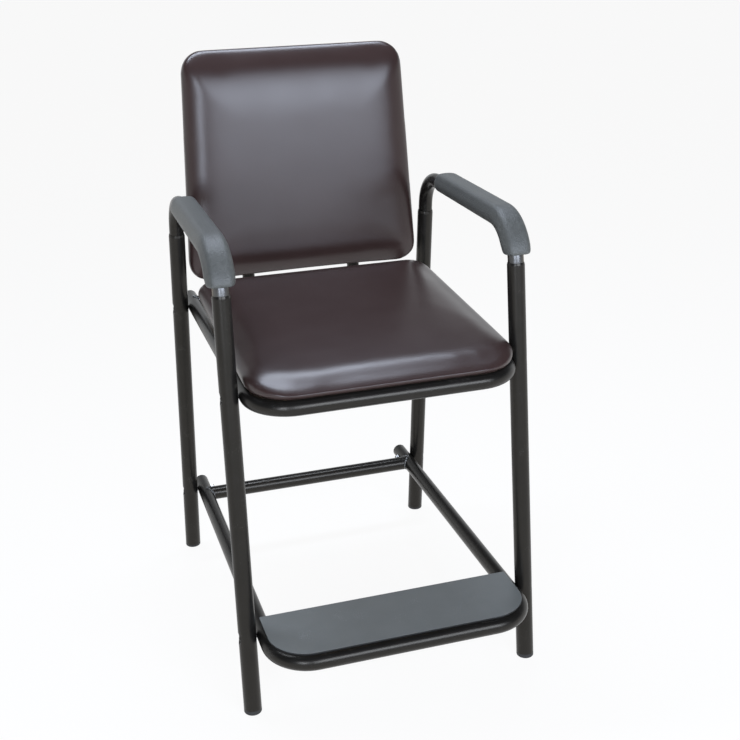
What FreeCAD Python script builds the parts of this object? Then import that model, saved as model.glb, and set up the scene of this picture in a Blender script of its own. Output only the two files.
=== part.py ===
import FreeCAD, Part
import math
import os

os.makedirs("parts", exist_ok=True)

# Raised hip chair. Millimetres, +Z up. The chair faces -Y and its left arm is on -X.
# Pieces are laid out about the middle of the four feet. On saving, the whole chair is moved
# along Y so that the origin lies on the floor under the middle of its overall box.

# Legs: straight round tube, raked apart front to rear, with the mouth rolled in at the top.
leg_diameter = 31.75
leg_wall = 1.4
leg_rake_deg = 6.0
leg_spacing = 525.4
stance_depth = 618.0
leg_mouth_height = 4.0
leg_lip = 0.5

# Pressed dimple round each leg bolt.
dimple_depth = 4.4
dimple_head_gap = 1.0
dimple_flare = 0.9

# Foot glides.
glide_height = 7.0
glide_stem = 22.0
glide_edge = 2.5

# Rails, bars and loops share one tube.
rail_diameter = 28.6
rail_wall = 1.4
loop_bend = 70.0
seat_rail_height = 577.0
seat_nut_lead = 1.25
seat_rail_overhang = 64.0
foot_rail_height = 142.0
foot_loop_reach = 108.0
foot_rail_overhang = 32.0
foot_bar_inset = 31.7

# Plugs in the open tube ends.
plug_stem = 14.0
plug_rim = 2.0
plug_dome = 3.0

# Arm tubes and their moulded pads.
arm_wall = 1.4
arm_height = 814.5
arm_bend = 68.0
arm_insert = 65.0
front_seam_drop = 1.6
rear_seam_drop = 15.6
arm_pad_width = 55.0
arm_pad_base_width = 45.0
arm_pad_top_width = 37.0
arm_pad_cover = 13.5
arm_pad_wrap = 8.0
arm_pad_shoulder = 11.0
arm_pad_flank = 14.0
arm_pad_lip = 9.0
arm_pad_end_radius = 8.0
arm_pad_setback = 44.0
arm_pad_rise = 15.0
arm_pad_screw_inset = 45.0
arm_pad_screw_grip = 8.0

# Seat pad on its board, tipped forward: its front lies on the loop, its rear on taller spacers.
seat_tilt_deg = 3.2
seat_back_gap = 5.5
seat_side_inset = 6.3
seat_front_inset = 4.5
seat_rear_corner = 45.0
seat_board_thickness = 12.0
seat_board_margin = 5.0
seat_pad_thickness = 41.5
seat_crown = 7.5
seat_edge_round = 24.5
seat_base_round = 4.0
seat_strap_width = 32.0
seat_strap_thickness = 4.0
seat_strap_lead = 35.0
seat_strap_setback = 114.0
seat_spacer_diameter = 18.0
seat_screw_spacing = 260.0
seat_screw_grip = 9.0

# Back pad, its board, rear panel and posts.
back_recline_deg = 5.9
back_side_gap = 4.8
back_taper = 20.0
back_bottom = 51.0
back_height = 458.0
back_arch = 9.0
back_arch_radius = 3200.0
back_bottom_corner = 42.0
back_top_corner = 42.0
back_board_thickness = 10.0
back_board_margin = 4.0
back_panel_thickness = 2.5
back_panel_margin = 2.0
back_pad_thickness = 54.0
back_crown = 6.0
back_edge_round = 26.0
back_base_round = 20.0
post_diameter = 25.4
post_wall = 1.4
post_spacing = 227.0
post_below_top = 110.0
back_bolt_rise = 90.0
back_bolt_spacing = 190.0
back_bolt_grip = 8.0

# Footplate: sheet on the crest of the footrest loop.
plate_thickness = 3.0
plate_overlap = 3.0
plate_depth = 136.0
plate_edge = 1.0

# Fasteners.
bolt_diameter = 6.0
bolt_head_diameter = 12.4
bolt_head_height = 3.6
bolt_socket_width = 4.0
nut_width = 10.0
nut_height = 5.0
nut_dome = 3.2
nut_shoulder = 0.5
screw_diameter = 4.4
screw_head_diameter = 9.0
screw_head_height = 2.6
screw_socket_width = 3.0
socket_depth_share = 0.55

# Clearances.
leg_rail_gap = 0.3
arm_fit_gap = 0.275
weld_gap = 0.1
sliding_gap = 0.2
hole_gap = 0.3
thread_gap = 0.1
seat_gap = 0.05
bar_nut_gap = 0.6
pocket_gap = 0.25
cut_margin = 5.0

# Derived sizes and places.
V = FreeCAD.Vector
rake = math.radians(leg_rake_deg)
leg_r = leg_diameter / 2
bore_r = leg_r - leg_wall
rail_r = rail_diameter / 2
arm_r = bore_r - arm_fit_gap
arm_diameter = 2 * arm_r
post_r = post_diameter / 2
bolt_r = bolt_diameter / 2
screw_r = screw_diameter / 2
bolt_head = (bolt_head_diameter / 2, bolt_head_height, bolt_socket_width)
screw_head = (screw_head_diameter / 2, screw_head_height, screw_socket_width)
leg_x = leg_spacing / 2
rail_x = leg_x - leg_r - leg_rail_gap - rail_r


def leg_y(end, height):
    """Y of a leg axis at a height; end is -1 at the front and 1 at the rear."""
    return end * (stance_depth / 2 - height * math.tan(rake))


seat_rear_y = leg_y(1, seat_rail_height) + seat_rail_overhang
foot_front_y = leg_y(-1, foot_rail_height) - foot_loop_reach
foot_rear_y = leg_y(1, foot_rail_height) + foot_rail_overhang
nut_corner_r = nut_width / math.sqrt(3)
seat_front_y = leg_y(-1, seat_rail_height) - nut_corner_r - seat_nut_lead - loop_bend
seat_bar_y = leg_y(1, seat_rail_height) + nut_corner_r + bar_nut_gap + rail_r
foot_bar_y = leg_y(1, foot_rail_height) - foot_bar_inset
panel_level = post_r + sliding_gap
back_base = panel_level + back_panel_thickness + seat_gap
seat_pad_rear_y = seat_bar_y - back_base - back_pad_thickness - seat_back_gap
seat_board_inset = seat_base_round + seat_board_margin
back_board_inset = back_base_round + back_board_margin
back_panel_inset = back_base_round + back_panel_margin
seat_top = seat_rail_height + rail_r
foot_top = foot_rail_height + rail_r
front_reach = foot_front_y - rail_r
foot_plug_reach = foot_rear_y + seat_gap + plug_rim + plug_dome
rear_reach = max(stance_depth / 2 + leg_r / math.cos(rake), foot_plug_reach)
origin_shift = V(0, -(front_reach + rear_reach) / 2, 0)
sides = (("left", -1), ("right", 1))
ends = (("front", -1), ("rear", 1))
up = V(0, 0, 1)
along_x = V(1, 0, 0)
along_y = V(0, 1, 0)


def save(node, shape):
    placed = shape.copy()
    placed.translate(origin_shift)
    if not placed.isValid():
        raise ValueError(node + " is not a valid shape")
    placed.exportStep("parts/" + node + ".step")
    print(node, len(placed.Solids), "solids", round(placed.Volume), "mm3")


def filleted_wire(points, radii, closed):
    """Straight runs through the points, with a tangent arc of the given radius at each corner."""
    count = len(points)
    corners = []
    for i in range(count):
        point = points[i]
        if not closed and i in (0, count - 1):
            corners.append((point, None, point))
            continue
        to_before = (points[i - 1] - point).normalize()
        to_after = (points[(i + 1) % count] - point).normalize()
        half = to_before.getAngle(to_after) / 2
        reach = radii[i] / math.tan(half)
        inward = (to_before + to_after).normalize()
        middle = point + inward * (radii[i] / math.sin(half) - radii[i])
        corners.append((point + to_before * reach, middle, point + to_after * reach))
    edges = []
    for i in range(count):
        first, middle, last = corners[i]
        if middle is not None:
            edges.append(Part.Arc(first, middle, last).toShape())
        if closed or i < count - 1:
            edges.append(Part.makeLine(last, corners[(i + 1) % count][0]))
    return Part.Wire(edges)


def bent_path(points, radius):
    return filleted_wire(points, [radius] * len(points), False)


def rod(path, radius):
    """Round bar along a bent path."""
    edge = path.OrderedEdges[0]
    start = path.OrderedVertexes[0].Point
    heading = edge.tangentAt(edge.FirstParameter)
    section = Part.Wire(Part.makeCircle(radius, start, heading))
    return path.makePipeShell([section], True, False)


def tube(path, radius, wall):
    return rod(path, radius).cut(rod(path, radius - wall))


def straight_tube(start, heading, length, radius, wall):
    outer = Part.makeCylinder(radius, length, start, heading)
    inner = Part.makeCylinder(radius - wall, length, start, heading)
    return outer.cut(inner)


def revolved(profile):
    """Turn a profile of (radius, height) points about +Z."""
    points = [V(r, 0, h) for r, h in profile]
    face = Part.Face(Part.makePolygon(points + points[:1]))
    return face.revolve(V(0, 0, 0), up, 360)


def aimed(shape, start, heading):
    """Move a piece made on +Z so that it starts at a point and points along a heading."""
    placed = shape.copy()
    placed.Placement = FreeCAD.Placement(start, FreeCAD.Rotation(up, heading))
    return placed


def hex_prism(width, height):
    """Hexagonal bar on +Z, sized across its flats."""
    corner_r = width / math.sqrt(3)
    turns = [k * math.pi / 3 for k in range(7)]
    outline = [V(corner_r * math.cos(turn), corner_r * math.sin(turn), 0) for turn in turns]
    return Part.Face(Part.makePolygon(outline)).extrude(up * height)


def capped_pin(length, shank_r, head_r, head_height, socket_width):
    """Bolt or screw: the shank runs along +Z from the underside of a domed head with a hexagon socket."""
    shank = Part.makeCylinder(shank_r, length + head_height / 2, V(0, 0, -head_height / 2), up)
    crown = (head_r**2 + head_height**2) / head_height / 2
    ball = Part.makeSphere(crown, V(0, 0, crown - head_height))
    head = Part.makeCylinder(head_r, head_height, V(0, 0, -head_height), up).common(ball)
    socket = hex_prism(socket_width, head_height * socket_depth_share)
    socket.translate(V(0, 0, -head_height))
    return head.fuse(shank).removeSplitter().cut(socket)


def loop(height, front_y, rear_y, bolt_ys):
    """U-shaped tube with its bend at the front, drilled for the leg bolts."""
    corners = (V(-rail_x, rear_y, height), V(-rail_x, front_y, height))
    corners += (V(rail_x, front_y, height), V(rail_x, rear_y, height))
    shape = tube(bent_path(corners, loop_bend), rail_r, rail_wall)
    for y in bolt_ys:
        start = V(-rail_x - rail_r - cut_margin, y, height)
        reach = 2 * (rail_x + rail_r + cut_margin)
        shape = shape.cut(Part.makeCylinder(bolt_r + hole_gap, reach, start, along_x))
    return shape


def cross_bar(y, height):
    """Tube between the rails, its ends coped to seat on them."""
    bar = straight_tube(V(-rail_x, y, height), along_x, 2 * rail_x, rail_r, rail_wall)
    for _, side in sides:
        start = V(side * rail_x, y - rail_diameter, height)
        rail = Part.makeCylinder(rail_r + weld_gap, 2 * rail_diameter, start, along_y)
        bar = bar.cut(rail)
    return bar


def tube_plug(radius, wall):
    """Plug on +Z: stem inside the tube, rim on its end, low dome outside."""
    inner_r = radius - wall - sliding_gap
    body = revolved([(0, -plug_stem), (inner_r, -plug_stem), (inner_r, 0), (radius, 0), (radius, plug_rim),
                     (0, plug_rim)])
    crown = (radius**2 + plug_dome**2) / plug_dome / 2
    ball = Part.makeSphere(crown, V(0, 0, plug_rim + plug_dome - crown))
    dome = Part.makeCylinder(radius, plug_dome, V(0, 0, plug_rim), up).common(ball)
    return body.fuse(dome).removeSplitter()


def stuffed_pad(outline, middle, thickness, half_width, crown, edge_round, base_round):
    """Upholstered pad: domed over its whole face, edges rolled over, base drawn in."""
    base = middle.z
    ball_r = (half_width**2 + crown**2) / crown / 2
    ball = Part.makeSphere(ball_r, middle + up * (thickness - ball_r))
    block = Part.Face(outline(0, base)).extrude(up * thickness).common(ball)
    rolled = [edge for edge in block.Edges if edge.BoundBox.ZMin > base + base_round]
    block = block.makeFillet(edge_round, rolled)
    drawn_in = [edge for edge in block.Edges if edge.BoundBox.ZMax < base + seat_gap]
    return block.makeFillet(base_round, drawn_in)


def board_solid(outline, inset, level, thickness):
    return Part.Face(outline(inset, level)).extrude(up * thickness)


# Legs and foot glides.
def leg(side, top):
    length = top / math.cos(rake)
    shape = revolved([(bore_r, glide_height), (leg_r, glide_height), (leg_r, length - leg_mouth_height),
                      (bore_r + leg_lip, length), (bore_r, length)])
    outward = V(side, 0, 0)
    floor_r = bolt_head_diameter / 2 + dimple_head_gap
    mid_wall = Part.makeCylinder(bore_r + leg_wall / 2, length)
    for height in (foot_rail_height, seat_rail_height):
        centre = V(0, 0, height / math.cos(rake))
        floor = centre + outward * (leg_r - dimple_depth)
        rise = dimple_depth + cut_margin
        dish = Part.makeCone(floor_r, floor_r + rise * dimple_flare, rise, floor, outward)
        cup_floor = floor - outward * leg_wall
        cup_r = floor_r + leg_wall
        cup_rise = rise + leg_wall
        cup = Part.makeCone(cup_r, cup_r + cup_rise * dimple_flare, cup_rise, cup_floor, outward)
        hole_start = centre - outward * leg_diameter
        hole = Part.makeCylinder(bolt_r + hole_gap, leg_diameter * 2, hole_start, outward)
        shape = shape.fuse(cup.common(mid_wall)).cut(dish).cut(hole)
    return shape


def glide():
    stem_r = bore_r - sliding_gap
    return revolved([(0, -leg_r), (leg_r, -leg_r), (leg_r, glide_height), (stem_r, glide_height),
                     (stem_r, glide_height + glide_stem), (0, glide_height + glide_stem)])


def raked(shape, side, end):
    placed = shape.copy()
    placed.rotate(V(0, 0, 0), along_x, end * leg_rake_deg)
    placed.translate(V(side * leg_x, leg_y(end, 0), 0))
    return placed


arm_turn = math.pi / 2 - rake
arm_tangent = arm_bend * math.tan(arm_turn / 2)
bend_foot = arm_height - arm_tangent * math.cos(rake)
front_leg_top = bend_foot - front_seam_drop
rear_leg_top = bend_foot - rear_seam_drop
leg_tops = {-1: front_leg_top, 1: rear_leg_top}
for side_name, side in sides:
    for end_name, end in ends:
        save("leg_" + end_name + "_" + side_name, raked(leg(side, leg_tops[end]), side, end))
        foot = raked(glide(), side, end)
        below = Part.makeBox(leg_diameter * 2, leg_diameter * 2, leg_diameter * 2)
        below.translate(V(side * leg_x - leg_diameter, leg_y(end, 0) - leg_diameter, -leg_diameter * 2))
        foot = foot.cut(below)
        rim = [edge for edge in foot.Edges if edge.BoundBox.ZMax < seat_gap]
        save("glide_" + end_name + "_" + side_name, foot.makeFillet(glide_edge, rim))

# Arm tubes, their pads and the pad screws.
pad_rear_y = leg_y(1, arm_height) - arm_tangent - arm_pad_setback
pad_front_level = front_leg_top + arm_pad_rise
pad_top = arm_r + arm_pad_cover
arm_pad_reach = 2 * (arm_pad_width + arm_bend)
pad_bend_y = leg_y(-1, arm_height) + arm_tangent
pad_screw_ys = (pad_bend_y + arm_pad_screw_inset, pad_rear_y - arm_pad_screw_inset)


def arm_point(side, end, height):
    return V(side * leg_x, leg_y(end, height), height)


def arm_path(side):
    corners = [arm_point(side, 1, rear_leg_top - arm_insert), arm_point(side, 1, arm_height)]
    corners += [arm_point(side, -1, arm_height), arm_point(side, -1, front_leg_top - arm_insert)]
    return bent_path(corners, arm_bend)


def arm_pad(side):
    """Moulded pad: a crowned section drawn along the arm and down round its front bend."""
    middle = V(side * leg_x, pad_rear_y, arm_height)
    path = bent_path([middle, arm_point(side, -1, arm_height), arm_point(side, -1, front_leg_top)], arm_bend)
    flank_level = arm_pad_cover / 2
    half_outline = [(arm_pad_base_width / 2, -arm_pad_wrap, arm_pad_lip),
                    (arm_pad_width / 2, flank_level, arm_pad_flank),
                    (arm_pad_top_width / 2, pad_top, arm_pad_shoulder)]
    outline = half_outline + [(-across, level, radius) for across, level, radius in reversed(half_outline)]
    points = [middle + V(across, 0, level) for across, level, _ in outline]
    section = filleted_wire(points, [radius for _, _, radius in outline], True)
    shape = path.makePipeShell([section], True, False)
    tip = arm_point(side, -1, pad_front_level)
    below = Part.makeBox(arm_pad_reach, arm_pad_reach, arm_pad_reach)
    below.translate(V(-arm_pad_reach / 2, -arm_pad_reach / 2, -arm_pad_reach))
    below.rotate(V(0, 0, 0), along_x, -leg_rake_deg)
    below.translate(tip)
    shape = shape.cut(below)
    rims = flat_face_near(shape, middle).OuterWire.Edges + flat_face_near(shape, tip).OuterWire.Edges
    shape = shape.makeFillet(arm_pad_end_radius, rims)
    channel = rod(arm_path(side), arm_r + sliding_gap)
    return shape.cut(channel)


def flat_face_near(shape, point):
    flat = [face for face in shape.Faces if isinstance(face.Surface, Part.Plane)]
    return min(flat, key=lambda face: (face.CenterOfMass - point).Length)


pad_screw_length = arm_diameter + 2 * seat_gap + arm_pad_screw_grip
pad_screw = capped_pin(pad_screw_length, screw_r, *screw_head)
pad_screws = []
for side_name, side in sides:
    arm = tube(arm_path(side), arm_r, arm_wall)
    cover = arm_pad(side)
    for y in pad_screw_ys:
        start = V(side * leg_x, y, arm_height - arm_r - seat_gap)
        pad_screws.append(aimed(pad_screw, start, up))
        arm = arm.cut(Part.makeCylinder(screw_r + hole_gap, arm_diameter + 2 * seat_gap, start, up))
        pilot = Part.makeCylinder(screw_r + thread_gap, pad_screw_length + thread_gap, start, up)
        cover = cover.cut(pilot)
    save("arm_tube_" + side_name, arm)
    save("arm_pad_" + side_name, cover)
save("arm_pad_screws", Part.makeCompound(pad_screws))

# Seat frame: loop and rear bar.
seat_bolt_ys = [leg_y(end, seat_rail_height) for _, end in ends]
foot_bolt_ys = [leg_y(end, foot_rail_height) for _, end in ends]
save("seat_loop", loop(seat_rail_height, seat_front_y, seat_rear_y, seat_bolt_ys))
save("seat_rear_bar", cross_bar(seat_bar_y, seat_rail_height))

# Seat board and pad, laid out from the axis of the front tube and tipped as one.
seat_tilt = math.radians(seat_tilt_deg)
seat_base = seat_top + sliding_gap
seat_frame = FreeCAD.Placement(V(0, seat_front_y, seat_base), FreeCAD.Rotation(along_x, seat_tilt_deg))
seat_pad_half = rail_x + rail_r - seat_side_inset
seat_pad_front = seat_front_inset - rail_r
seat_pad_rear = (seat_pad_rear_y - seat_front_y) / math.cos(seat_tilt)
seat_depth = seat_pad_rear - seat_pad_front
seat_middle = V(0, (seat_pad_front + seat_pad_rear) / 2, 0)


def tipped(shape):
    placed = shape.copy()
    placed.Placement = seat_frame.multiply(placed.Placement)
    return placed


def seat_outline(inset, level):
    half = seat_pad_half - inset
    front_corner = loop_bend + rail_r - seat_side_inset - inset
    rear_corner = seat_rear_corner - inset
    points = [V(-half, seat_pad_front + inset, level), V(half, seat_pad_front + inset, level),
              V(half, seat_pad_rear - inset, level), V(-half, seat_pad_rear - inset, level)]
    return filleted_wire(points, [front_corner, front_corner, rear_corner, rear_corner], True)


seat_board = tipped(board_solid(seat_outline, seat_board_inset, 0, seat_board_thickness))
seat_pad = stuffed_pad(seat_outline, seat_middle, seat_pad_thickness, seat_pad_half, seat_crown,
                       seat_edge_round, seat_base_round)
pocket = board_solid(seat_outline, seat_board_inset - pocket_gap, -cut_margin,
                     seat_board_thickness + cut_margin + pocket_gap)
save("seat_pad", tipped(seat_pad.cut(pocket)))

# Straps between the rails, with spacers and screws up into the board.
strap_drop = rail_r - seat_strap_thickness
strap_half = rail_x - math.sqrt((rail_r + weld_gap) ** 2 - strap_drop**2)
spacer_r = seat_spacer_diameter / 2
over_spacers = tipped(Part.makeBox(2 * seat_pad_half, seat_depth, seat_spacer_diameter,
                                   V(-seat_pad_half, seat_pad_front, -seat_gap)))
seat_screws = []
seat_spacers = []
strap_ys = (seat_front_y + loop_bend + seat_strap_lead, seat_pad_rear_y - seat_strap_setback)
for (end_name, _), strap_y in zip(ends, strap_ys):
    rise = seat_base - seat_top + (strap_y - seat_front_y) * math.tan(seat_tilt)
    low = V(-strap_half, strap_y - seat_strap_width / 2, seat_top - seat_strap_thickness)
    strap = Part.makeBox(2 * strap_half, seat_strap_width, seat_strap_thickness, low)
    screw_length = seat_strap_thickness + seat_gap + rise + seat_screw_grip
    screw = capped_pin(screw_length, screw_r, *screw_head)
    for _, side in sides:
        foot = V(side * seat_screw_spacing / 2, strap_y, seat_top + seat_gap)
        start = foot - up * (seat_strap_thickness + 2 * seat_gap)
        seat_screws.append(aimed(screw, start, up))
        passage = Part.makeCylinder(screw_r + hole_gap, screw_length, start, up)
        strap = strap.cut(passage)
        spacer = Part.makeCylinder(spacer_r, rise + spacer_r, foot, up)
        seat_spacers.append(spacer.cut(over_spacers).cut(passage))
        pilot = Part.makeCylinder(screw_r + thread_gap, screw_length + thread_gap, start, up)
        seat_board = seat_board.cut(pilot)
    save("seat_strap_" + end_name, strap)
save("seat_screws", Part.makeCompound(seat_screws))
save("seat_spacers", Part.makeCompound(seat_spacers))
save("seat_board", seat_board)

# Back posts, board, panel and pad, laid out on the reclined plane of the post axes.
back_tilt = FreeCAD.Rotation(along_x, 90 - back_recline_deg)
back_frame = FreeCAD.Placement(V(0, seat_bar_y, seat_rail_height), back_tilt)
post_top = back_bottom + back_height - post_below_top
back_bottom_half = leg_x - leg_r - back_side_gap


def reclined(shape):
    placed = shape.copy()
    placed.Placement = back_frame.multiply(placed.Placement)
    return placed


def back_outline(inset, level):
    bottom_half = back_bottom_half - inset
    top_half = back_bottom_half - back_taper - inset
    low = back_bottom + inset
    high = back_bottom + back_height - inset
    bottom_corner = back_bottom_corner - inset
    top_corner = back_top_corner - inset
    points = [V(-bottom_half, low, level), V(0, low + back_arch, level), V(bottom_half, low, level),
              V(top_half, high, level), V(-top_half, high, level)]
    radii = [bottom_corner, back_arch_radius, bottom_corner, top_corner, top_corner]
    return filleted_wire(points, radii, True)


bolt_through = post_diameter + sliding_gap + back_panel_thickness + 2 * seat_gap
back_bolt = capped_pin(bolt_through + back_bolt_grip, bolt_r, *bolt_head)
back_bolts = []
bolt_tools = []
post_holes = []
for _, side in sides:
    for rise in (back_bolt_rise, back_bolt_rise + back_bolt_spacing):
        start = V(side * post_spacing / 2, back_bottom + rise, -post_r - seat_gap)
        back_bolts.append(reclined(aimed(back_bolt, start, up)))
        bolt_tools.append(Part.makeCylinder(bolt_r + thread_gap, bolt_through + back_bolt_grip, start, up))
        post_holes.append(Part.makeCylinder(bolt_r + hole_gap, bolt_through, start, up))
bar_seat = Part.makeCylinder(rail_r + weld_gap, post_spacing * 2, V(-post_spacing, 0, 0), along_x)
for side_name, side in sides:
    post = straight_tube(V(side * post_spacing / 2, 0, 0), along_y, post_top, post_r, post_wall)
    post = post.cut(bar_seat)
    for hole in post_holes:
        post = post.cut(hole)
    save("back_post_" + side_name, reclined(post))
    cap = aimed(tube_plug(post_r, post_wall), V(side * post_spacing / 2, post_top + seat_gap, 0), along_y)
    save("back_post_cap_" + side_name, reclined(cap))
back_panel = board_solid(back_outline, back_panel_inset, panel_level, back_panel_thickness)
for hole in post_holes:
    back_panel = back_panel.cut(hole)
back_board = board_solid(back_outline, back_board_inset, back_base, back_board_thickness)
for tool in bolt_tools:
    back_board = back_board.cut(tool)
back_middle = V(0, back_bottom + back_height / 2, back_base)
back_pad = stuffed_pad(back_outline, back_middle, back_pad_thickness, back_bottom_half, back_crown,
                       back_edge_round, back_base_round)
back_pocket = board_solid(back_outline, back_board_inset - pocket_gap, back_base - cut_margin,
                          back_board_thickness + cut_margin + pocket_gap)
save("back_bolts", Part.makeCompound(back_bolts))
save("back_panel", reclined(back_panel))
save("back_board", reclined(back_board))
save("back_pad", reclined(back_pad.cut(back_pocket)))

# Footrest: loop, rear bar and plate.
save("foot_loop", loop(foot_rail_height, foot_front_y, foot_rear_y, foot_bolt_ys))
save("foot_rear_bar", cross_bar(foot_bar_y, foot_rail_height))
plate_half = rail_x + plate_overlap
plate_level = foot_top + weld_gap
plate_rear_y = foot_front_y + plate_depth
plate_points = [V(-plate_half, foot_front_y, plate_level), V(plate_half, foot_front_y, plate_level),
                V(plate_half, plate_rear_y, plate_level), V(-plate_half, plate_rear_y, plate_level)]
plate_radii = [loop_bend, loop_bend, plate_thickness, plate_thickness]
plate = Part.Face(filleted_wire(plate_points, plate_radii, True)).extrude(up * plate_thickness)
plate_top = plate_level + plate_thickness
plate_rim = [edge for edge in plate.Edges if edge.BoundBox.ZMin > plate_top - seat_gap]
save("foot_plate", plate.makeFillet(plate_edge, plate_rim))

# Plugs in the rear ends of the rails.
rail_plug = tube_plug(rail_r, rail_wall)
rail_ends = (("seat", seat_rail_height, seat_rear_y), ("foot", foot_rail_height, foot_rear_y))
for frame_name, height, rear_y in rail_ends:
    for side_name, side in sides:
        start = V(side * rail_x, rear_y + seat_gap, height)
        save(frame_name + "_rail_plug_" + side_name, aimed(rail_plug, start, along_y))

# Leg bolts from the dimples through the rails, with domed nuts inside.
bolt_seat_x = leg_x + leg_r - dimple_depth + seat_gap
nut_seat_x = rail_x - rail_r - seat_gap
leg_bolt_length = bolt_seat_x - nut_seat_x + nut_height
leg_bolt = capped_pin(leg_bolt_length, bolt_r, *bolt_head)
nut_dome_r = nut_width / 2 - nut_shoulder
nut_crown = (nut_dome_r**2 + nut_dome**2) / nut_dome / 2
nut_ball = Part.makeSphere(nut_crown, V(0, 0, nut_height + nut_dome - nut_crown))
nut_cap = Part.makeCylinder(nut_dome_r, nut_dome, V(0, 0, nut_height), up).common(nut_ball)
nut = hex_prism(nut_width, nut_height).fuse(nut_cap)
nut = nut.cut(Part.makeCylinder(bolt_r + thread_gap, nut_height + thread_gap))
leg_bolts = []
leg_nuts = []
for _, side in sides:
    inward = V(-side, 0, 0)
    for height in (foot_rail_height, seat_rail_height):
        for _, end in ends:
            y = leg_y(end, height)
            leg_bolts.append(aimed(leg_bolt, V(side * bolt_seat_x, y, height), inward))
            leg_nuts.append(aimed(nut, V(side * nut_seat_x, y, height), inward))
save("leg_bolts", Part.makeCompound(leg_bolts))
save("leg_nuts", Part.makeCompound(leg_nuts))
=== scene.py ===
import math

import bmesh
import bpy
from mathutils import Matrix, Vector


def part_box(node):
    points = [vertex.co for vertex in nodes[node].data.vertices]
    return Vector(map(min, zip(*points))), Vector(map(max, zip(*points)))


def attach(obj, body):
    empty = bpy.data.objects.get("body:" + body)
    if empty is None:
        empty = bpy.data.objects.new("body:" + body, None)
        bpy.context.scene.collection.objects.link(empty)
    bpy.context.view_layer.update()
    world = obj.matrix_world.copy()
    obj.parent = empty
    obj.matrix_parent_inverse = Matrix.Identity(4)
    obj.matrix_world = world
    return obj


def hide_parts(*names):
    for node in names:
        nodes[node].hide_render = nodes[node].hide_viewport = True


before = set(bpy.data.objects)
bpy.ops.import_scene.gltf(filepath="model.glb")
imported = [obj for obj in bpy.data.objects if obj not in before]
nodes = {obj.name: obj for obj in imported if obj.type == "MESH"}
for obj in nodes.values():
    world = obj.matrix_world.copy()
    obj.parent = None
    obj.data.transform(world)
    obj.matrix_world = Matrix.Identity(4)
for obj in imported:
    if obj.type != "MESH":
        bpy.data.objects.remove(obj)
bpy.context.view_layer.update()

scene = bpy.context.scene
scene.view_settings.view_transform = "Standard"

# Camera: it stands before the chair's left arm, above a sitter's eyes, and looks down on the seat.
# Its place, turn and lens are the photograph's, found from the tube frame.
camera_place = Vector((-0.5940, -2.0652, 1.3716))
camera_yaw = math.radians(16.85)
camera_pitch = math.radians(18.37)
camera_roll = math.radians(1.2)
picture_width = 740
lens_pixels = 1215.8
axis_pixel = (359.7, 297.6)

view_along = Vector((math.sin(camera_yaw) * math.cos(camera_pitch),
                     math.cos(camera_yaw) * math.cos(camera_pitch), -math.sin(camera_pitch)))
level_right = Vector((math.cos(camera_yaw), -math.sin(camera_yaw), 0))
level_down = view_along.cross(level_right)
view_right = level_right * math.cos(camera_roll) + level_down * math.sin(camera_roll)
view_up = level_right * math.sin(camera_roll) - level_down * math.cos(camera_roll)
camera_data = bpy.data.cameras.new("photo_camera")
camera_data.lens = camera_data.sensor_width * lens_pixels / picture_width
camera_data.shift_x = 0.5 - axis_pixel[0] / picture_width
camera_data.shift_y = axis_pixel[1] / picture_width - 0.5
camera = bpy.data.objects.new("photo_camera", camera_data)
camera_turn = Matrix((view_right, view_up, -view_along)).transposed().to_4x4()
camera.matrix_world = Matrix.Translation(camera_place) @ camera_turn
scene.collection.objects.link(camera)
scene.camera = camera


# Studio: a pale floor and backdrop that read as white, with soft boxes overhead, beside and behind
# the camera. The upper wall is dim, which keeps the top border of the back dark.
floor_radius = 40.0
floor_sides = 64
floor_drop = 0.0004
floor_white = (0.92, 0.92, 0.92, 1)
shadow_share = 0.07
wall_white = (0.94, 0.97, 1.0, 1)
wall_dim = (0.07, 0.07, 0.08, 1)
wall_lean = 0.3
wall_fades = (0.09, 0.30)
backdrop_white = (1, 1, 1, 1)
lamp_tint = (0.77, 0.85, 1.0)
soft_boxes = {"top": ((-0.15, 0.60, 2.5), (-0.1, -0.2, 0.6), (1.9, 0.38), 44),
              "left": ((-1.5, -2.9, 1.4), (0, 0.2, 0.9), (0.8, 1.4), 50),
              "front": ((0.9, -3.4, 1.8), (0, 0.2, 0.9), (2.4, 1.6), 125)}


def add_object(name, data):
    made = bpy.data.objects.new(name, data)
    scene.collection.objects.link(made)
    return made


def mesh_from(bm, name):
    mesh = bpy.data.meshes.new(name)
    bm.to_mesh(mesh)
    bm.free()
    return mesh


def seen_rays(tree):
    """1 for rays that come from the camera, a reflection or a clear surface."""
    path = tree.nodes.new("ShaderNodeLightPath")
    total = path.outputs["Is Camera Ray"]
    for ray in ("Is Glossy Ray", "Is Transmission Ray"):
        join = tree.nodes.new("ShaderNodeMath")
        join.operation = "MAXIMUM"
        tree.links.new(total, join.inputs[0])
        tree.links.new(path.outputs[ray], join.inputs[1])
        total = join.outputs[0]
    return total


floor_mesh = bmesh.new()
bmesh.ops.create_circle(floor_mesh, cap_ends=True, radius=floor_radius, segments=floor_sides)
bmesh.ops.translate(floor_mesh, verts=floor_mesh.verts, vec=(0, 0, -floor_drop))
floor = add_object("floor", mesh_from(floor_mesh, "floor"))
floor_paint = bpy.data.materials.new("studio_floor")
floor_paint.use_nodes = True
tree = floor_paint.node_tree
tree.nodes.clear()
matt = tree.nodes.new("ShaderNodeBsdfDiffuse")
matt.inputs["Color"].default_value = floor_white
glow = tree.nodes.new("ShaderNodeEmission")
share = tree.nodes.new("ShaderNodeMath")
share.operation = "MULTIPLY"
share.inputs[1].default_value = 1 - shadow_share
mix = tree.nodes.new("ShaderNodeMixShader")
out = tree.nodes.new("ShaderNodeOutputMaterial")
tree.links.new(seen_rays(tree), share.inputs[0])
tree.links.new(share.outputs[0], mix.inputs["Fac"])
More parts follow.
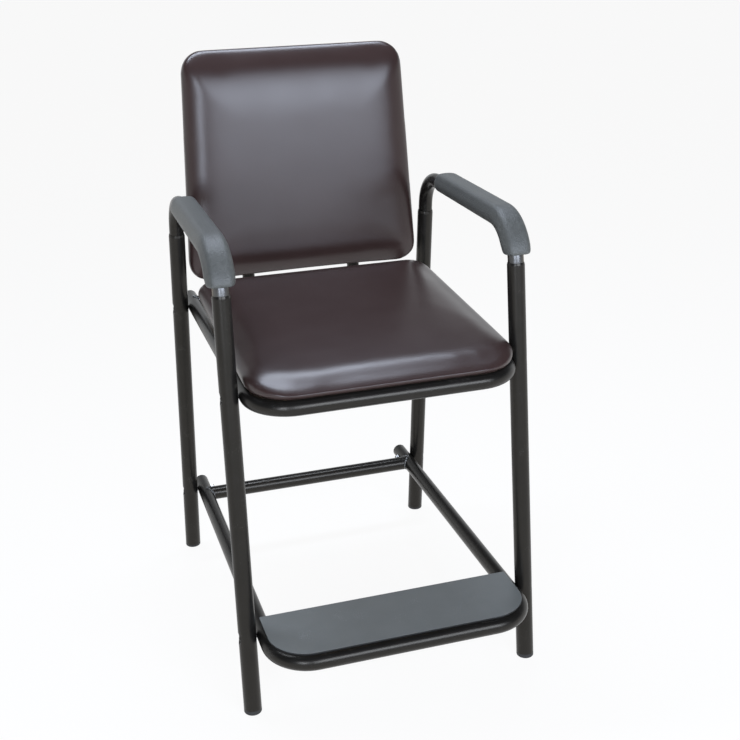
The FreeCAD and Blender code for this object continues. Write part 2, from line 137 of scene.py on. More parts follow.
tree.links.new(matt.outputs[0], mix.inputs[1])
tree.links.new(glow.outputs[0], mix.inputs[2])
tree.links.new(mix.outputs[0], out.inputs["Surface"])
floor.data.materials.append(floor_paint)

world = bpy.data.worlds.new("studio")
scene.world = world
world.use_nodes = True
tree = world.node_tree
tree.nodes.clear()
direction = tree.nodes.new("ShaderNodeTexCoord")
split = tree.nodes.new("ShaderNodeSeparateXYZ")
lean = tree.nodes.new("ShaderNodeMath")
lean.operation = "MULTIPLY_ADD"
lean.inputs[1].default_value = -wall_lean
wall = tree.nodes.new("ShaderNodeValToRGB")
for stop, position, tone in zip(wall.color_ramp.elements, wall_fades, (wall_white, wall_dim)):
    stop.position = position
    stop.color = tone
path = tree.nodes.new("ShaderNodeLightPath")
backdrop = tree.nodes.new("ShaderNodeMixRGB")
backdrop.inputs["Color2"].default_value = backdrop_white
light = tree.nodes.new("ShaderNodeBackground")
out = tree.nodes.new("ShaderNodeOutputWorld")
tree.links.new(direction.outputs["Generated"], split.inputs[0])
tree.links.new(split.outputs["Y"], lean.inputs[0])
tree.links.new(split.outputs["Z"], lean.inputs[2])
tree.links.new(lean.outputs[0], wall.inputs["Fac"])
tree.links.new(path.outputs["Is Camera Ray"], backdrop.inputs["Fac"])
tree.links.new(wall.outputs["Color"], backdrop.inputs["Color1"])
tree.links.new(backdrop.outputs["Color"], light.inputs["Color"])
tree.links.new(light.outputs[0], out.inputs["Surface"])

for name, (place, target, size, power) in soft_boxes.items():
    lamp = bpy.data.lights.new(name + "_soft_box", "AREA")
    lamp.shape = "RECTANGLE"
    lamp.size, lamp.size_y = size
    lamp.color = lamp_tint
    lamp.energy = power
    holder = add_object(name + "_soft_box", lamp)
    holder.location = place
    holder.rotation_euler = (Vector(target) - Vector(place)).to_track_quat("-Z", "Y").to_euler()


# Legs, seat and foot loops, cross bars, straps, spacers and posts: steel tube and flat, cut, bent and
# welded, then sprayed with one satin bronze-charcoal paint. The paint has a slight orange peel, and it is
# rubbed in places.
paint_dark = (0.0062, 0.0058, 0.0052, 1)
paint_light = (0.0105, 0.0097, 0.0086, 1)
paint_gloss = 0.34
paint_sheen = (1.0, 0.93, 0.82, 1)
paint_rough = (0.26, 0.34)
paint_worn = (0.030, 0.028, 0.025, 1)
paint_mottle = 35.0
paint_scuffs = 30.0
paint_peel = (700.0, 0.00006)
cloud_detail = 4
peel_detail = 3
fine_scuffs = 420
scuff_mask = (0.36, 0.46)


def new_group(name, inputs, outputs):
    """An empty shader group with named sockets; returns it with its input and output nodes."""
    group = bpy.data.node_groups.new(name, "ShaderNodeTree")
    for way, sockets in (("INPUT", inputs), ("OUTPUT", outputs)):
        for socket, kind in sockets.items():
            group.interface.new_socket(name=socket, in_out=way, socket_type="NodeSocket" + kind)
    return group, group.nodes.new("NodeGroupInput"), group.nodes.new("NodeGroupOutput")


def mottle_group():
    """Slow drift between two tones, with the same cloud as a mask."""
    group, given, made = new_group(
        "mottle", {"Vector": "Vector", "Scale": "Float", "Dark": "Color", "Light": "Color"},
        {"Color": "Color", "Cloud": "Float"})
    noise = group.nodes.new("ShaderNodeTexNoise")
    noise.inputs["Detail"].default_value = cloud_detail
    mix = group.nodes.new("ShaderNodeMix")
    mix.data_type = "RGBA"
    group.links.new(given.outputs["Vector"], noise.inputs["Vector"])
    group.links.new(given.outputs["Scale"], noise.inputs["Scale"])
    group.links.new(noise.outputs["Fac"], mix.inputs["Factor"])
    group.links.new(given.outputs["Dark"], mix.inputs["A"])
    group.links.new(given.outputs["Light"], mix.inputs["B"])
    group.links.new(mix.outputs["Result"], made.inputs["Color"])
    group.links.new(noise.outputs["Fac"], made.inputs["Cloud"])
    return group


def peel_group():
    """Fine uneven skin of a sprayed or moulded surface: a height for the bump."""
    group, given, made = new_group("peel", {"Vector": "Vector", "Scale": "Float"}, {"Height": "Float"})
    noise = group.nodes.new("ShaderNodeTexNoise")
    noise.inputs["Detail"].default_value = peel_detail
    group.links.new(given.outputs["Vector"], noise.inputs["Vector"])
    group.links.new(given.outputs["Scale"], noise.inputs["Scale"])
    group.links.new(noise.outputs["Fac"], made.inputs["Height"])
    return group


def scuff_group():
    """Small rubbed places: a colour that gives way to a worn one where two clouds meet."""
    group, given, made = new_group(
        "scuffs", {"Vector": "Vector", "Scale": "Float", "Color": "Color", "Worn": "Color"},
        {"Color": "Color"})
    coarse = group.nodes.new("ShaderNodeTexNoise")
    fine = group.nodes.new("ShaderNodeTexNoise")
    fine.inputs["Scale"].default_value = fine_scuffs
    meet = group.nodes.new("ShaderNodeMath")
    meet.operation = "MULTIPLY"
    edge = group.nodes.new("ShaderNodeMapRange")
    edge.inputs["From Min"].default_value, edge.inputs["From Max"].default_value = scuff_mask
    mix = group.nodes.new("ShaderNodeMix")
    mix.data_type = "RGBA"
    for cloud, socket in ((coarse, 0), (fine, 1)):
        group.links.new(given.outputs["Vector"], cloud.inputs["Vector"])
        group.links.new(cloud.outputs["Fac"], meet.inputs[socket])
    group.links.new(given.outputs["Scale"], coarse.inputs["Scale"])
    group.links.new(meet.outputs[0], edge.inputs["Value"])
    group.links.new(edge.outputs["Result"], mix.inputs["Factor"])
    group.links.new(given.outputs["Color"], mix.inputs["A"])
    group.links.new(given.outputs["Worn"], mix.inputs["B"])
    group.links.new(mix.outputs["Result"], made.inputs["Color"])
    return group


mottle = mottle_group()
peel = peel_group()
scuffs = scuff_group()


class Finish:
    """A material with one Principled shader, fed by groups on Object coordinates."""

    def __init__(self, name, metallic=0.0, specular=0.5, sheen=(1, 1, 1, 1)):
        self.material = bpy.data.materials.new(name)
        self.material.use_nodes = True
        self.tree = self.material.node_tree
        self.shader = self.tree.nodes["Principled BSDF"]
        self.shader.inputs["Metallic"].default_value = metallic
        self.shader.inputs["Specular IOR Level"].default_value = specular
        self.shader.inputs["Specular Tint"].default_value = sheen
        self.place = self.add("ShaderNodeTexCoord").outputs["Object"]

    def add(self, kind):
        return self.tree.nodes.new(kind)

    def link(self, source, target):
        self.tree.links.new(source, target)

    def group(self, group, **values):
        node = self.add("ShaderNodeGroup")
        node.node_tree = group
        self.link(self.place, node.inputs["Vector"])
        for socket, value in values.items():
            node.inputs[socket].default_value = value
        return node

    def mottled(self, scale, dark, light):
        node = self.group(mottle, Scale=scale, Dark=dark, Light=light)
        self.link(node.outputs["Color"], self.shader.inputs["Base Color"])
        return node

    def scuffed(self, tone, scale, worn):
        node = self.group(scuffs, Scale=scale, Worn=worn)
        self.link(tone.outputs["Color"], node.inputs["Color"])
        self.link(node.outputs["Color"], self.shader.inputs["Base Color"])

        return node

    def below(self, axis, limit, edge):
        """Mask of what lies under a limit on one axis."""
        axes = self.add("ShaderNodeSeparateXYZ")
        ramp = self.add("ShaderNodeMapRange")
        ramp.inputs["From Min"].default_value = limit + edge
        ramp.inputs["From Max"].default_value = limit - edge
        self.link(self.place, axes.inputs[0])
        self.link(axes.outputs[axis], ramp.inputs["Value"])
        return ramp.outputs["Result"]

    def patched(self, tone, mask, patch):
        """The tone, with another colour on the masked place."""
        skin = self.add("ShaderNodeMix")
        skin.data_type = "RGBA"
        skin.inputs["B"].default_value = patch
        self.link(mask, skin.inputs["Factor"])
        self.link(tone.outputs["Color"], skin.inputs["A"])
        self.link(skin.outputs["Result"], self.shader.inputs["Base Color"])

    def rough(self, mask, low, high):
        ramp = self.add("ShaderNodeMapRange")
        ramp.inputs["To Min"].default_value = low
        ramp.inputs["To Max"].default_value = high
        self.link(mask, ramp.inputs["Value"])
        self.link(ramp.outputs["Result"], self.shader.inputs["Roughness"])
        return ramp.outputs["Result"]

    def skinned(self, scale, tones, rough):
        """Mottled colour, with a roughness that drifts with it."""
        tone = self.mottled(scale, *tones)
        self.rough(tone.outputs["Cloud"], *rough)
        return tone

    def peeled(self, scale, depth):
        self.bumped(self.group(peel, Scale=scale).outputs["Height"], depth)

    def bumped(self, height, depth):
        bump = self.add("ShaderNodeBump")
        bump.inputs["Strength"].default_value = 1.0
        bump.inputs["Distance"].default_value = depth
        self.link(height, bump.inputs["Height"])
        self.link(bump.outputs["Normal"], self.shader.inputs["Normal"])


def coat(finish, *names):
    """Give CAD nodes, whose shape stays, a finish."""
    for name in names:
        mesh = nodes[name].data
        mesh.materials.clear()
        mesh.materials.append(finish.material)


paint = Finish("bronze_paint", specular=paint_gloss, sheen=paint_sheen)
paint.scuffed(paint.skinned(paint_mottle, (paint_dark, paint_light), paint_rough), paint_scuffs, paint_worn)
paint.peeled(*paint_peel)
painted = ("leg_front", "leg_rear", "seat_loop", "foot_loop")
coat(paint, *[name for name in nodes if name.startswith(painted)])
coat(paint, "seat_rear_bar", "foot_rear_bar", "seat_strap_front", "seat_strap_rear", "seat_spacers")
coat(paint, "back_post_left", "back_post_right")

# Arm tubes: the same painted tube, bent over and pushed into the leg tops. Where their front ends
# enter the legs they are a lighter band of bare satin steel, partly real and partly a painted highlight.
collar_top = 0.7760
collar_front = -0.1000
collar_edge = 0.0008
bare_steel_and_highlight = (0.12, 0.12, 0.12, 1)
collar_rough = 0.36

arm_paint = Finish("arm_paint", specular=paint_gloss, sheen=paint_sheen)
tone = arm_paint.mottled(paint_mottle, paint_dark, paint_light)
arm_paint.peeled(*paint_peel)
# Lighter steel band on the front ends only: partly bare metal, partly a painted highlight.
steel_highlight_band = arm_paint.add("ShaderNodeMath")
steel_highlight_band.operation = "MULTIPLY"
arm_paint.link(arm_paint.below("Z", collar_top, collar_edge), steel_highlight_band.inputs[0])
arm_paint.link(arm_paint.below("Y", collar_front, collar_edge), steel_highlight_band.inputs[1])
arm_paint.patched(tone, steel_highlight_band.outputs[0], bare_steel_and_highlight)
arm_paint.link(steel_highlight_band.outputs[0], arm_paint.shader.inputs["Metallic"])
arm_paint.rough(steel_highlight_band.outputs[0], paint_rough[0], collar_rough)
coat(arm_paint, "arm_tube_left", "arm_tube_right")

# Weld beads: rippled rings of filler where the cross bars and back posts are joined to round tubes.
# They are sprayed with the frame, thinly, so bright metal shows on their crests.
rail_r = 0.0143
rail_x = 0.232225
bar_places = {"seat": (0.31165, 0.577), "foot": (0.305, 0.142)}
post_x = 0.1135
post_r = 0.0127
recline = math.radians(5.9)
bead_r = 0.0021
bead_points = 96
bead_steps = 2
bead_sides = 3
bead_ripples = (24, 0.16)
bead_waves = (5, 0.10)
weld_metal = 0.6
weld_mottle = 420.0
weld_tones = ((0.020, 0.019, 0.018, 1), (0.26, 0.26, 0.25, 1))
weld_rough = (0.28, 0.45)

weld = Finish("weld_paint", metallic=weld_metal)
weld.skinned(weld_mottle, weld_tones, weld_rough)


def final_mesh(shaper):
    """The mesh that a curve or a modifier ends in; the object that made it goes."""
    mesh = bpy.data.meshes.new_from_object(shaper.evaluated_get(bpy.context.evaluated_depsgraph_get()))
    bpy.data.objects.remove(shaper)
    return mesh


def weld_bead(name, centre, outward, along, branch_r):
    """Bead round a tube that stands on another, whose axis runs along through the centre."""
    across = outward.cross(along)
    curve = bpy.data.curves.new(name, "CURVE")
    curve.dimensions = "3D"
    curve.bevel_depth = bead_r
    curve.bevel_resolution = bead_sides
    ring = curve.splines.new("NURBS")
    ring.points.add(bead_points - 1)
    ring.use_cyclic_u = True
    for i, point in enumerate(ring.points):
        turn = 2 * math.pi * i / bead_points
        side = branch_r * math.sin(turn)
        height = math.sqrt(rail_r ** 2 - side ** 2)
        place = centre + outward * height + along * branch_r * math.cos(turn) + across * side
        point.co = (*place, 1)
        point.radius = 1 + sum(swell * math.sin(count * turn) for count, swell in (bead_ripples, bead_waves))
    ring.order_u = 3
    ring.resolution_u = bead_steps
    mesh = final_mesh(add_object(name + "_curve", curve))
    mesh.shade_smooth()
    mesh.materials.clear()
    mesh.materials.append(weld.material)
    bead = add_object(name, mesh)
    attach(bead, "root")


for side_name, side in (("left", -1), ("right", 1)):
    for bar_name, (y, z) in bar_places.items():
        weld_bead(bar_name + "_bar_weld_" + side_name, Vector((side * rail_x, y, z)), Vector((-side, 0, 0)),
                  Vector((0, 1, 0)), rail_r)
    seat_bar = Vector((side * post_x, *bar_places["seat"]))
    post_up = Vector((0, math.sin(recline), math.cos(recline)))
    weld_bead("post_weld_" + side_name, seat_bar, post_up, Vector((1, 0, 0)), post_r)

# Foot glides, rail plugs and post caps: moulded in a dull dark plastic with a fine skin.
# Each is pushed into the end of its tube.
plastic_mottle = 60.0
plastic_tones = ((0.012, 0.012, 0.012, 1), (0.022, 0.022, 0.022, 1))
plastic_rough = (0.45, 0.60)
plastic_peel = (1500.0, 0.00005)

plastic = Finish("dark_plastic")
plastic.skinned(plastic_mottle, plastic_tones, plastic_rough)
plastic.peeled(*plastic_peel)
coat(plastic, *[name for name in nodes if name.startswith("glide_") or "_plug_" in name or "_cap_" in name])

# Leg nuts, back bolts and the screws of the seat and arm pads: steel with plain zinc plating.
# They are bought in, and driven with a hexagon key or a spanner.
zinc_mottle = 400.0
zinc_tones = ((0.36, 0.36, 0.35, 1), (0.50, 0.50, 0.49, 1))
zinc_rough = (0.28, 0.42)

zinc = Finish("zinc_plate", metallic=1.0)
zinc.skinned(zinc_mottle, zinc_tones, zinc_rough)
coat(zinc, "leg_nuts", "arm_pad_screws", "seat_screws", "back_bolts")

# Leg bolts: steel bolts that go through leg and rail, their button heads let into the dimples.
# They are blackened, so that they go with the paint.
black_mottle = 300.0
black_tones = ((0.030, 0.029, 0.028, 1), (0.055, 0.053, 0.050, 1))
black_rough = (0.32, 0.46)

black_steel = Finish("black_steel", metallic=1.0)
black_steel.skinned(black_mottle, black_tones, black_rough)
coat(black_steel, "leg_bolts")

# Boards: birch plywood that carries the padding of the seat and the back, sawn to shape.
# The seat's board is bare underneath, where it is screwed to the straps.
grain_stretch = (1.6, 26.0, 26.0)
plywood_mottle = 3.0
plywood_tones = ((0.34, 0.215, 0.11, 1), (0.56, 0.40, 0.23, 1))
plywood_rough = (0.58, 0.78)
plywood_peel = (14.0, 0.0003)

plywood = Finish("plywood")
lengthwise = plywood.add("ShaderNodeMapping")
lengthwise.inputs["Scale"].default_value = grain_stretch
plywood.link(plywood.place, lengthwise.inputs["Vector"])
plywood.place = lengthwise.outputs["Vector"]
plywood.skinned(plywood_mottle, plywood_tones, plywood_rough)
plywood.peeled(*plywood_peel)
coat(plywood, "seat_board", "back_board")

# Back panel: a thin dark sheet of coated board that closes the rear of the back.
# It covers the turned-in vinyl, and is held by staples.
panel_mottle = 30.0
panel_tones = ((0.016, 0.015, 0.015, 1), (0.024, 0.022, 0.022, 1))
panel_rough = (0.50, 0.60)
panel_peel = (900.0, 0.0001)

panel = Finish("panel_sheet")
panel.skinned(panel_mottle, panel_tones, panel_rough)
panel.peeled(*panel_peel)
coat(panel, "back_panel")

# Footplate: steel sheet cut to the loop and laid on it, with a flat grey non-slip coat on its top, whose
# light grey is partly the coat's own tone and partly a painted reflection of the bright backdrop.
# The cut edge is coloured dark and rougher than the coat: painted shade along the plate's edge.
plate_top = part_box("foot_plate")[1][2]
plate_edge = 0.0002
plate_edge_painted_shade = (0.010, 0.0095, 0.009, 1)
plate_edge_rough = 0.35
plate_mottle = 25.0
# Lighter than the coat alone: partly a painted reflection of the bright surroundings.
plate_grey_and_painted_reflection = ((0.175, 0.186, 0.180, 1), (0.210, 0.222, 0.215, 1))
plate_rough = (0.34, 0.42)
plate_scuffs = 18.0
plate_worn = (0.27, 0.285, 0.28, 1)
plate_peel = (1200.0, 0.0001)

plate_coat = Finish("plate_coat")
tone = plate_coat.mottled(plate_mottle, *plate_grey_and_painted_reflection)
rubbed = plate_coat.scuffed(tone, plate_scuffs, plate_worn)
# Painted shade: the edge below the top face is coloured dark.
shaded_rim = plate_coat.below("Z", plate_top - plate_edge, plate_edge / 2)
plate_coat.patched(rubbed, shaded_rim, plate_edge_painted_shade)
top_rough = plate_coat.rough(tone.outputs["Cloud"], *plate_rough)
rim_rough = plate_coat.add("ShaderNodeMath")
rim_rough.operation = "MULTIPLY_ADD"
rim_rough.inputs[1].default_value = plate_edge_rough
plate_coat.link(shaded_rim, rim_rough.inputs[0])
plate_coat.link(top_rough, rim_rough.inputs[2])
plate_coat.link(rim_rough.outputs[0], plate_coat.shader.inputs["Roughness"])
plate_coat.peeled(*plate_peel)
coat(plate_coat, "foot_plate")

# Seat pad: foam on the board under tightly drawn dark brown vinyl, which is turned under and stapled.
# It swells over the board, rolls over the front tube and is tipped forward with the board.
seat_tilt = math.radians(3.2)
seat_crown = 0.0075
seat_front_corner = 0.078
seat_rear_corner = 0.045
seat_roll = 0.012
corner_power = 4
seat_tuck = 0.007
voxel = 0.005
slack = 0.0015
stapled_depth = 0.004
hem_depth = 0.002
board_bite = 0.003
hold_depth = 0.012
seat_falls = (((0.40, 0.120, 3),), ((0.54, 0.280, 2), (0.26, 0.060, 2)), ((0.32, 0.110, 3),))
corner_segments = 10
roll_segments = 8
tuck_segments = 4
arch_cuts = (-0.6, -0.3, 0, 0.3, 0.6)
rim_angle = math.radians(45)
skin_passes = 3
swell_passes = 24
swell_cap = 0.006
sim_frames = 20
cloth_pressure = 4
cloth_stretch = 4
cloth_shear = 2
cloth_bending = 4
vinyl_mottle = 14.0
vinyl_tones = ((0.030, 0.0162, 0.0142, 1), (0.038, 0.0212, 0.0186, 1))
vinyl_rough = (0.28, 0.36)
vinyl_grain = (750.0, 0.00004)
ripple_share = 8.0


def grain_group():
    """Small raised cells of an embossed skin: a height for the bump."""
    group, given, made = new_group("grain", {"Vector": "Vector", "Scale": "Float"}, {"Height": "Float"})
    cells = group.nodes.new("ShaderNodeTexVoronoi")
    cells.feature = "SMOOTH_F1"
    crumple = group.nodes.new("ShaderNodeTexNoise")
    total = group.nodes.new("ShaderNodeMath")
    total.operation = "ADD"
    for texture in (cells, crumple):
        group.links.new(given.outputs["Vector"], texture.inputs["Vector"])
        group.links.new(given.outputs["Scale"], texture.inputs["Scale"])
    group.links.new(cells.outputs["Distance"], total.inputs[0])
    group.links.new(crumple.outputs["Fac"], total.inputs[1])
    group.links.new(total.outputs[0], made.inputs["Height"])
    return group


grain = grain_group()
vinyl = Finish("brown_vinyl")
tone = vinyl.skinned(vinyl_mottle, vinyl_tones, vinyl_rough)
ripple = vinyl.add("ShaderNodeMath")
ripple.operation = "MULTIPLY_ADD"
ripple.inputs[1].default_value = ripple_share
vinyl.link(tone.outputs["Cloud"], ripple.inputs[0])
vinyl.link(vinyl.group(grain, Scale=vinyl_grain[0]).outputs["Height"], ripple.inputs[2])
vinyl.bumped(ripple.outputs[0], vinyl_grain[1])


def local_box(node, turn):
    """Lowest and highest corner of a CAD node in a frame turned about X."""
    unturned = turn.inverted()
    corners = [unturned @ vert.co for vert in nodes[node].data.vertices]
    return Vector(map(min, zip(*corners))), Vector(map(max, zip(*corners)))


def sharp_rim(bm, level):
    """Edges between the flat face at a level and its sides."""
    at_level = [edge for edge in bm.edges if all(abs(vert.co.z - level) < slack / 10 for vert in edge.verts)]
    return [edge for edge in at_level if edge.calc_face_angle(0) > rim_angle]


def bevel(bm, edges, offset, segments):
    bmesh.ops.bevel(bm, geom=edges, offset=offset, segments=segments, profile=0.5, affect="EDGES",
                    material=-1, clamp_overlap=False)


def uprights(bm):
    return [edge for edge in bm.edges if abs(edge.verts[0].co.z - edge.verts[1].co.z) > slack]


def foam_block(low, high, crown, low_corner, high_corner, taper, arch, roll, tuck):
    """Slab of foam in its own frame: rounded corners, a rolled face edge and a tucked-in base."""
    bm = bmesh.new()
    bmesh.ops.create_cube(bm, size=1)
    span = high - low
    middle = (low + high) / 2
    half = span.x / 2
    bmesh.ops.scale(bm, verts=bm.verts, vec=(span.x, span.y, span.z - crown))
    bmesh.ops.translate(bm, verts=bm.verts, vec=middle - Vector((0, 0, crown / 2)))
    upper = [vert for vert in bm.verts if vert.co.y > middle.y]
    bmesh.ops.scale(bm, verts=upper, vec=(1 - taper / half, 1, 1))
    bevel(bm, [edge for edge in uprights(bm) if edge.verts[0].co.y < middle.y], low_corner, corner_segments)
    far = [edge for edge in uprights(bm) if edge.verts[0].co.y > high.y - slack]
    bevel(bm, far, high_corner, corner_segments)
    for share in arch_cuts:
        bmesh.ops.bisect_plane(bm, geom=bm.verts[:] + bm.edges[:] + bm.faces[:],
                               plane_co=(share * half, 0, 0), plane_no=(1, 0, 0))
    for vert in bm.verts:
        if vert.co.y < middle.y:
            vert.co.y += arch * (1 - (vert.co.x / half) ** 2)
    bevel(bm, sharp_rim(bm, high.z - crown), roll, roll_segments)
    bevel(bm, sharp_rim(bm, low.z), tuck, tuck_segments)
    return bm


def eased(bm, verts, passes):
    for _ in range(passes):
        bmesh.ops.smooth_vert(bm, verts=verts, factor=0.5, use_axis_x=True, use_axis_y=True, use_axis_z=True)


def even_mesh(bm, name, size):
    """The same shape as one even skin."""
    block = add_object(name + "_block", mesh_from(bm, name + "_block"))
    even = block.modifiers.new("even", "REMESH")
    even.mode = "VOXEL"
    even.voxel_size = size
    return final_mesh(block)


def rounded_over(bm, low, high, taper, falls, nose):
    """Let the face fall towards its sides, its near edge and its far edge, above the height of the nose."""
    middle = (low + high) / 2
    for vert in bm.verts:
        along = (vert.co.y - low.y) / (high.y - low.y)
        half = (high.x - low.x) / 2 - taper * along
        insets = (half - abs(vert.co.x - middle.x), vert.co.y - low.y, high.y - vert.co.y)
        drops = [sum(fall * max(0, 1 - max(0, inset) / reach) ** power for fall, reach, power in edge_falls)
                 for inset, edge_falls in zip(insets, falls)]
        drop = sum(part ** corner_power for part in drops) ** (1 / corner_power)
        vert.co.z -= drop * max(0, vert.co.z - low.z - nose)


def fitted(mesh, low, high):
    """Stretch the finished pad to the size of its cover."""
    corners = [vert.co for vert in mesh.vertices]
    at_low, at_high = Vector(map(min, zip(*corners))), Vector(map(max, zip(*corners)))
    for vert in mesh.vertices:
        for axis in range(3):
            share = (vert.co[axis] - at_low[axis]) / (at_high[axis] - at_low[axis])
            vert.co[axis] = low[axis] + share * (high[axis] - low[axis])


def stuffed_pad(name, block, low, high, taper, falls, nose):
    """Even the block's mesh, blow it up as taut cloth stapled round the base, and keep the eased swell."""
    base = low.z
    mesh = even_mesh(block, name, voxel)
    bm = bmesh.new()
    bm.from_mesh(mesh)
    eased(bm, bm.verts, skin_passes)
    hem = {vert for vert in bm.verts if vert.co.z < base + hem_depth}
    for vert in hem:
        vert.co.z = base
    on_board = [vert for vert in hem if all(edge.other_vert(vert) in hem for edge in vert.link_edges)]
    bmesh.ops.translate(bm, verts=on_board, vec=(0, 0, board_bite))
    rounded_over(bm, low, high, taper, falls, nose)
    bm.to_mesh(mesh)
    bm.free()
    pad = add_object(name, mesh)
    stapled = [vert.index for vert in mesh.vertices if vert.co.z < base + stapled_depth]
    pad.vertex_groups.new(name="stapled").add(stapled, 1.0, "REPLACE")
    cloth = pad.modifiers.new("stuffing", "CLOTH")
    cloth.settings.vertex_group_mass = "stapled"
    cloth.settings.use_pressure = True
    cloth.settings.uniform_pressure_force = cloth_pressure
    cloth.settings.tension_stiffness = cloth_stretch
    cloth.settings.compression_stiffness = cloth_stretch
    cloth.settings.shear_stiffness = cloth_shear
    cloth.settings.bending_stiffness = cloth_bending
    cloth.settings.effector_weights.gravity = 0
    cloth.point_cache.frame_start = 1
    cloth.point_cache.frame_end = sim_frames
    for step in range(1, sim_frames + 1):
        scene.frame_set(step)
    blown = pad.evaluated_get(bpy.context.evaluated_depsgraph_get()).data
    moves = [after.co - before.co for after, before in zip(blown.vertices, mesh.vertices)]
    pad.modifiers.remove(cloth)
    pad.vertex_groups.clear()
    swell = bmesh.new()
    swell.from_mesh(mesh)
    for vert, move in zip(swell.verts, moves):
        vert.co = vert.normal * min(swell_cap, max(0, move.dot(vert.normal)))
    eased(swell, swell.verts, swell_passes)
    for vert, move in zip(mesh.vertices, swell.verts):
        vert.co += move.co * min(1, max(0, vert.co.z - base - stapled_depth) / hold_depth)
    swell.free()
    scene.frame_set(1)
    fitted(mesh, low, high)
    return pad


def finish_pad(pad, turn, node):
    """Turn the pad to its place, cover it and let it stand for its CAD node."""
    pad.data.transform(turn)
    pad.data.shade_smooth()
    pad.data.materials.clear()
    pad.data.materials.append(vinyl.material)
    fine = pad.modifiers.new("fine", "SUBSURF")
    fine.levels = 1
    fine.render_levels = 1
    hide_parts(node)
    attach(pad, "root")


seat_turn = Matrix.Rotation(seat_tilt, 4, "X")
seat_low, seat_high = local_box("seat_pad", seat_turn)
margin = Vector((-slack, -slack, 0))
seat_block = foam_block(seat_low + margin, seat_high - margin, seat_crown, seat_front_corner,
                        seat_rear_corner, 0, 0, seat_roll, seat_tuck)
seat_cushion = stuffed_pad("seat_cushion", seat_block, seat_low, seat_high, 0, seat_falls, seat_tuck)
finish_pad(seat_cushion, seat_turn, "seat_pad")

# Back pad: a taller cushion of the same make, narrower at the top, its lower edge arched over the seat.
# A full soft border runs round a nearly flat middle.
back_lean = math.radians(84.1)
back_crown = 0.006
back_corner = 0.042
back_taper = 0.018
back_arch = 0.0045
back_roll = 0.014
back_tuck = 0.020
back_falls = (((0.25, 0.115, 3),), ((0.42, 0.115, 3),), ((0.50, 0.150, 3),))

back_turn = Matrix.Rotation(back_lean, 4, "X")
back_low, back_high = local_box("back_pad", back_turn)
back_block = foam_block(back_low + margin, back_high - margin, back_crown, back_corner,
                        back_corner, back_taper, back_arch, back_roll, back_tuck)
back_cushion = stuffed_pad("back_cushion", back_block, back_low, back_high, back_taper, back_falls, 0)
finish_pad(back_cushion, back_turn, "back_pad")

# Panel staples: crowns of bright wire shot through the rear panel into the board, round its border.
# None is shot where a back post stands in the way.
staple_crown = 0.0095
staple_wire = 0.0010
staple_inset = 0.010
staple_pitch = 0.042
staple_proud = 0.0002
corner_clear = 0.036
post_clear = 0.022
panel_slope = 0.0436

staples = bmesh.new()
panel_low, panel_high = local_box("back_panel", back_turn)


def shoot_staple(x, y, turn):
    made = bmesh.ops.create_cube(staples, size=1)["verts"]
    bmesh.ops.scale(staples, verts=made, vec=(staple_crown, staple_wire, staple_wire))
    bmesh.ops.rotate(staples, verts=made, cent=(0, 0, 0), matrix=Matrix.Rotation(turn, 3, "Z"))
    bmesh.ops.translate(staples, verts=made, vec=(x, y, panel_low.z - staple_proud))


def panel_half(y):
    return panel_high.x - panel_slope * (y - panel_low.y)


for y, clear_of_posts in ((panel_low.y + staple_inset, True), (panel_high.y - staple_inset, False)):
    reach = panel_half(y) - corner_clear
    steps = round(2 * reach / staple_pitch)
    for i in range(steps + 1):
        x = reach * (2 * i / steps - 1)
        if not clear_of_posts or abs(abs(x) - post_x) > post_clear:
            shoot_staple(x, y, 0)
side_run = panel_high.y - panel_low.y - 2 * corner_clear
side_steps = round(side_run / staple_pitch)
for i in range(side_steps + 1):
    y = panel_low.y + corner_clear + side_run * i / side_steps
    for side in (-1, 1):
        shoot_staple(side * (panel_half(y) - staple_inset), y, math.pi / 2 + side * math.atan(panel_slope))
bevel(staples, staples.edges[:], staple_wire / 4, 2)
bmesh.ops.transform(staples, matrix=back_turn, verts=staples.verts)
panel_staples = add_object("panel_staples", mesh_from(staples, "panel_staples"))
panel_staples.data.shade_smooth()
panel_staples.data.materials.append(zinc.material)
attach(panel_staples, "root")

# Arm pads: grey soft foam moulded with a skin, pressed over the arm tube from above and screwed from below.
# One crowned section runs along the arm and down round its front bend.
foam_mottle = 130.0
foam_tones = ((0.052, 0.054, 0.049, 1), (0.106, 0.108, 0.099, 1))
foam_rough = (0.44, 0.55)
foam_grain = (420.0, 0.0005)
pad_half = ((0.0225, -0.0080, 0.009), (0.0275, 0.00675, 0.014), (0.0185, 0.0277, 0.011))
arm_level = 0.8145
arm_bend = 0.068
arm_bend_y = -0.11954
arm_bend_turn = math.radians(84)
arm_x = 0.2627
channel_r = 0.0148
pad_rear_y = 0.1613
pad_tip = Vector((0, -0.18576, 0.7665))
leg_rake = math.radians(6)
leg_down = Vector((0, -math.sin(leg_rake), -math.cos(leg_rake)))
foam_voxel = 0.0025
end_reach = 0.015
end_passes = 26
channel_steps = 32
bend_steps = 28
edge_segments = 8

foam = Finish("grey_foam")
foam.skinned(foam_mottle, foam_tones, foam_rough)
foam.bumped(foam.group(grain, Scale=foam_grain[0]).outputs["Height"], foam_grain[1])


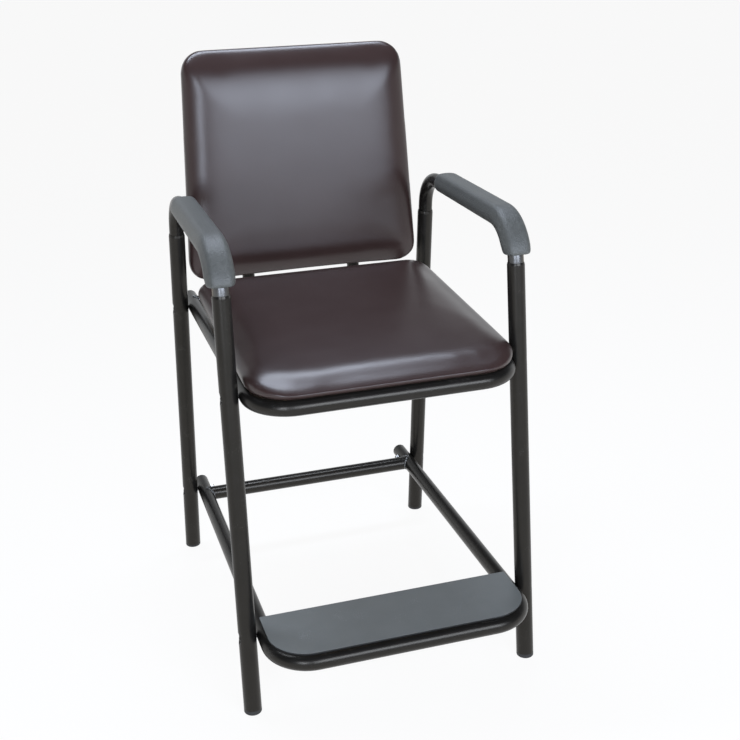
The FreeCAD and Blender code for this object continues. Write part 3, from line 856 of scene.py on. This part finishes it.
def arm_pad_body():
    """The pad's section, open below, drawn along the arm and round its bend, and cut square to the leg."""
    bm = bmesh.new()
    lip_level = pad_half[0][1]
    lip = math.sqrt(channel_r ** 2 - lip_level ** 2)
    right = [(lip, lip_level)] + [(across, level) for across, level, _ in pad_half]
    outline = right + [(-across, level) for across, level in reversed(right)]
    verts = [bm.verts.new((across, pad_rear_y, arm_level + level)) for across, level in outline]
    for pair in zip(verts, verts[1:]):
        bm.edges.new(pair)
    wrap = math.pi + 2 * math.asin(-lip_level / channel_r)
    bmesh.ops.spin(bm, geom=verts[:1], cent=(0, pad_rear_y, arm_level), axis=(0, -1, 0), angle=wrap,
                   steps=channel_steps)
    bmesh.ops.remove_doubles(bm, verts=bm.verts, dist=slack / 10)
    bmesh.ops.contextual_create(bm, geom=bm.edges[:])
    for across, level, radius in pad_half:
        for side in (-1, 1):
            wanted = Vector((side * across, pad_rear_y, arm_level + level))
            corner = min(bm.verts, key=lambda vert: (vert.co - wanted).length)
            opening = corner.link_loops[0].calc_angle()
            bmesh.ops.bevel(bm, geom=[corner], offset=radius / math.tan(opening / 2), segments=edge_segments,
                            profile=0.5, affect="VERTICES", material=-1)
    straight = bmesh.ops.extrude_face_region(bm, geom=bm.faces[:])["geom"]
    drawn = [vert for vert in straight if isinstance(vert, bmesh.types.BMVert)]
    bmesh.ops.translate(bm, verts=drawn, vec=(0, arm_bend_y - pad_rear_y, 0))
    front = [face for face in straight if isinstance(face, bmesh.types.BMFace)]
    bmesh.ops.spin(bm, geom=front, cent=(0, arm_bend_y, arm_level - arm_bend), axis=(1, 0, 0),
                   angle=arm_bend_turn, steps=bend_steps)
    bmesh.ops.bisect_plane(bm, geom=bm.verts[:] + bm.edges[:] + bm.faces[:], plane_co=pad_tip,
                           plane_no=leg_down, clear_outer=True)
    bmesh.ops.holes_fill(bm, edges=bm.edges[:])
    bmesh.ops.recalc_face_normals(bm, faces=bm.faces[:])
    return bm


def arm_pad(name, side):
    mesh = even_mesh(arm_pad_body(), name, foam_voxel)
    bm = bmesh.new()
    bm.from_mesh(mesh)
    ends = [vert for vert in bm.verts if vert.co.y > pad_rear_y - end_reach
            or (vert.co - pad_tip).dot(leg_down) > -end_reach]
    eased(bm, ends, end_passes)
    eased(bm, bm.verts, skin_passes)
    bmesh.ops.translate(bm, verts=bm.verts, vec=(side * arm_x, 0, 0))
    bm.to_mesh(mesh)
    bm.free()
    mesh.shade_smooth()
    mesh.materials.append(foam.material)
    return add_object(name, mesh)


for side_name, side in (("left", -1), ("right", 1)):
    pad = arm_pad("arm_cushion_" + side_name, side)
    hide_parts("arm_pad_" + side_name)
    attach(pad, "root")
